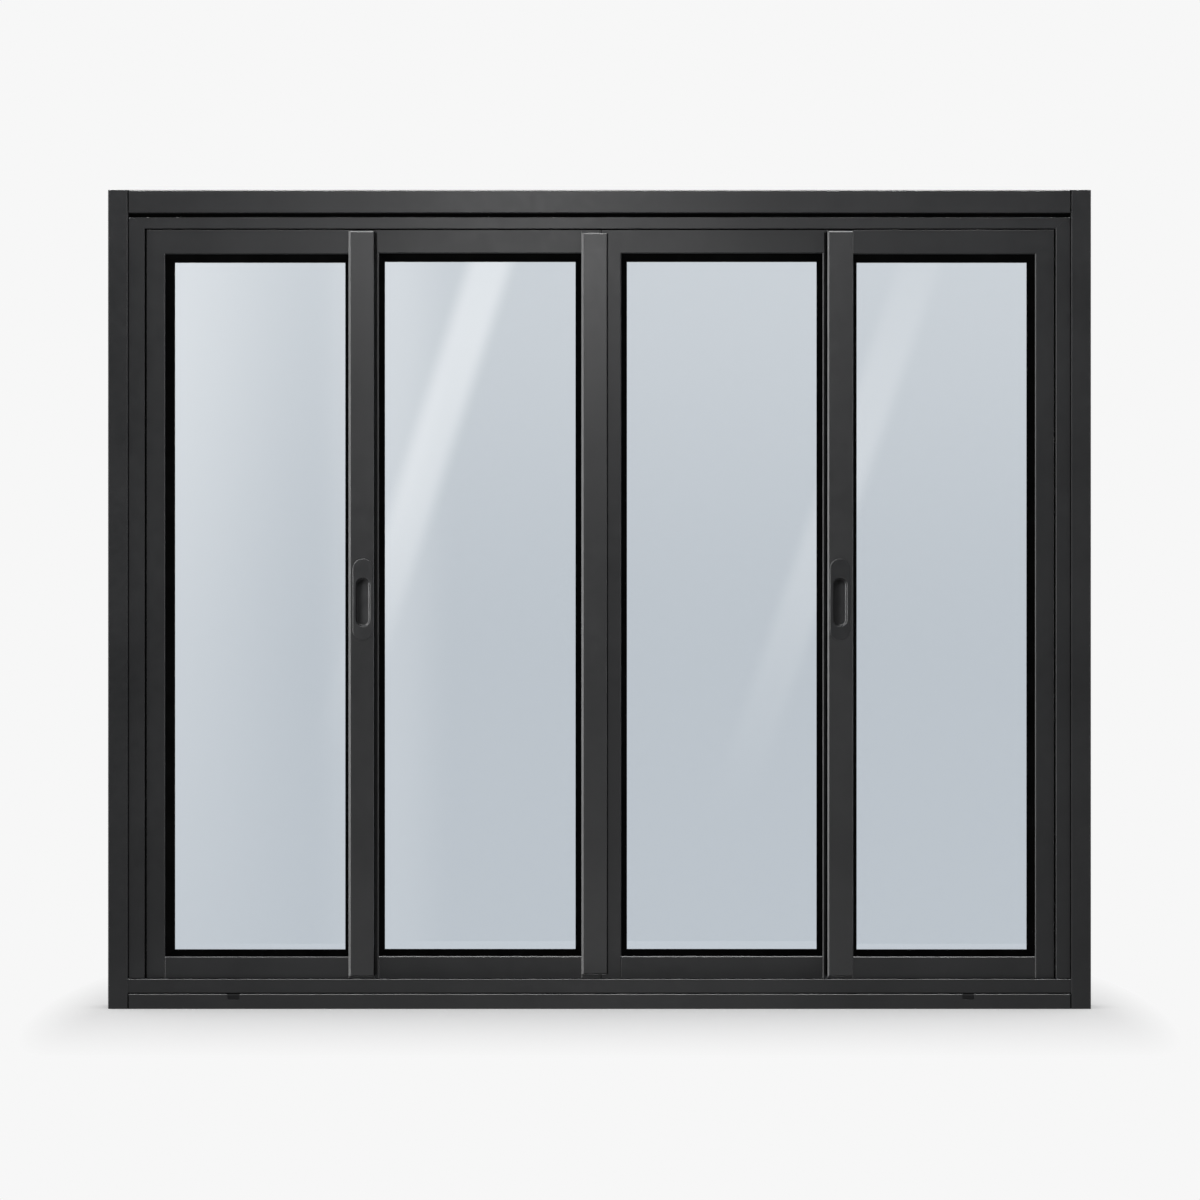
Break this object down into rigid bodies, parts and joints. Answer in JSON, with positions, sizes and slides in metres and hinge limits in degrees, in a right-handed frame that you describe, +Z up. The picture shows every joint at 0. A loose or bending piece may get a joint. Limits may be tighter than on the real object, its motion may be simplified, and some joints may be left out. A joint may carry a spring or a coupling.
{
  "type": "horizontal sliding window",
  "caption": "Wide sliding window in a dark coated aluminium frame: the outer sashes slide to the middle by flush pulls in front of the fixed middle sashes.",
  "frame": {"origin": "centre of the sill's underside, the face that the window stands on", "axes": "+X along the sill to the right as seen from the front, +Y from the front to the back, +Z up"},
  "size_m": [1.8, 0.1, 1.5],
  "materials": {
    "frame_coat": "satin powder coat",
    "sash_coat": "satin powder coat",
    "bar_coat": "satin powder coat",
    "pull_coat": "satin powder coat",
    "glass": "clear float glass",
    "gasket_rubber": "matte",
    "roller_nylon": "moulded",
    "block_nylon": "moulded"
  },
  "bodies": {
    "frame": {"centre_cover": "bar_coat", "centre_left_sash_blocks": "block_nylon", "centre_left_sash_bottom_rail": "sash_coat", "centre_left_sash_gasket": "gasket_rubber", "centre_left_sash_glass": "glass", "centre_left_sash_left_stile": "sash_coat", "centre_left_sash_right_stile": "sash_coat", "centre_left_sash_top_rail": "sash_coat", "centre_right_sash_blocks": "block_nylon", "centre_right_sash_bottom_rail": "sash_coat", "centre_right_sash_gasket": "gasket_rubber", "centre_right_sash_glass": "glass", "centre_right_sash_left_stile": "sash_coat", "centre_right_sash_right_stile": "sash_coat", "centre_right_sash_top_rail": "sash_coat", "frame_head": "frame_coat", "frame_jamb_left": "frame_coat", "frame_jamb_right": "frame_coat", "frame_sill": "frame_coat", "panel_stops": "block_nylon", "travel_stop": "block_nylon"},
    "left_sash": {"left_sash_bottom_rail": "sash_coat", "left_sash_cover": "bar_coat", "left_sash_gasket": "gasket_rubber", "left_sash_glass": "glass", "left_sash_left_stile": "sash_coat", "left_sash_pull": "pull_coat", "left_sash_right_stile": "sash_coat", "left_sash_rollers": "roller_nylon", "left_sash_top_rail": "sash_coat"},
    "right_sash": {"right_sash_bottom_rail": "sash_coat", "right_sash_cover": "bar_coat", "right_sash_gasket": "gasket_rubber", "right_sash_glass": "glass", "right_sash_left_stile": "sash_coat", "right_sash_pull": "pull_coat", "right_sash_right_stile": "sash_coat", "right_sash_rollers": "roller_nylon", "right_sash_top_rail": "sash_coat"}
  },
  "joints": [
    {"name": "left_sash_slide", "type": "slide", "parent": "frame", "child": "left_sash", "axis": [1, 0, 0], "range_m": [0, 0.37]},
    {"name": "right_sash_slide", "type": "slide", "parent": "frame", "child": "right_sash", "axis": [-1, 0, 0], "range_m": [0, 0.37]}
  ]
}
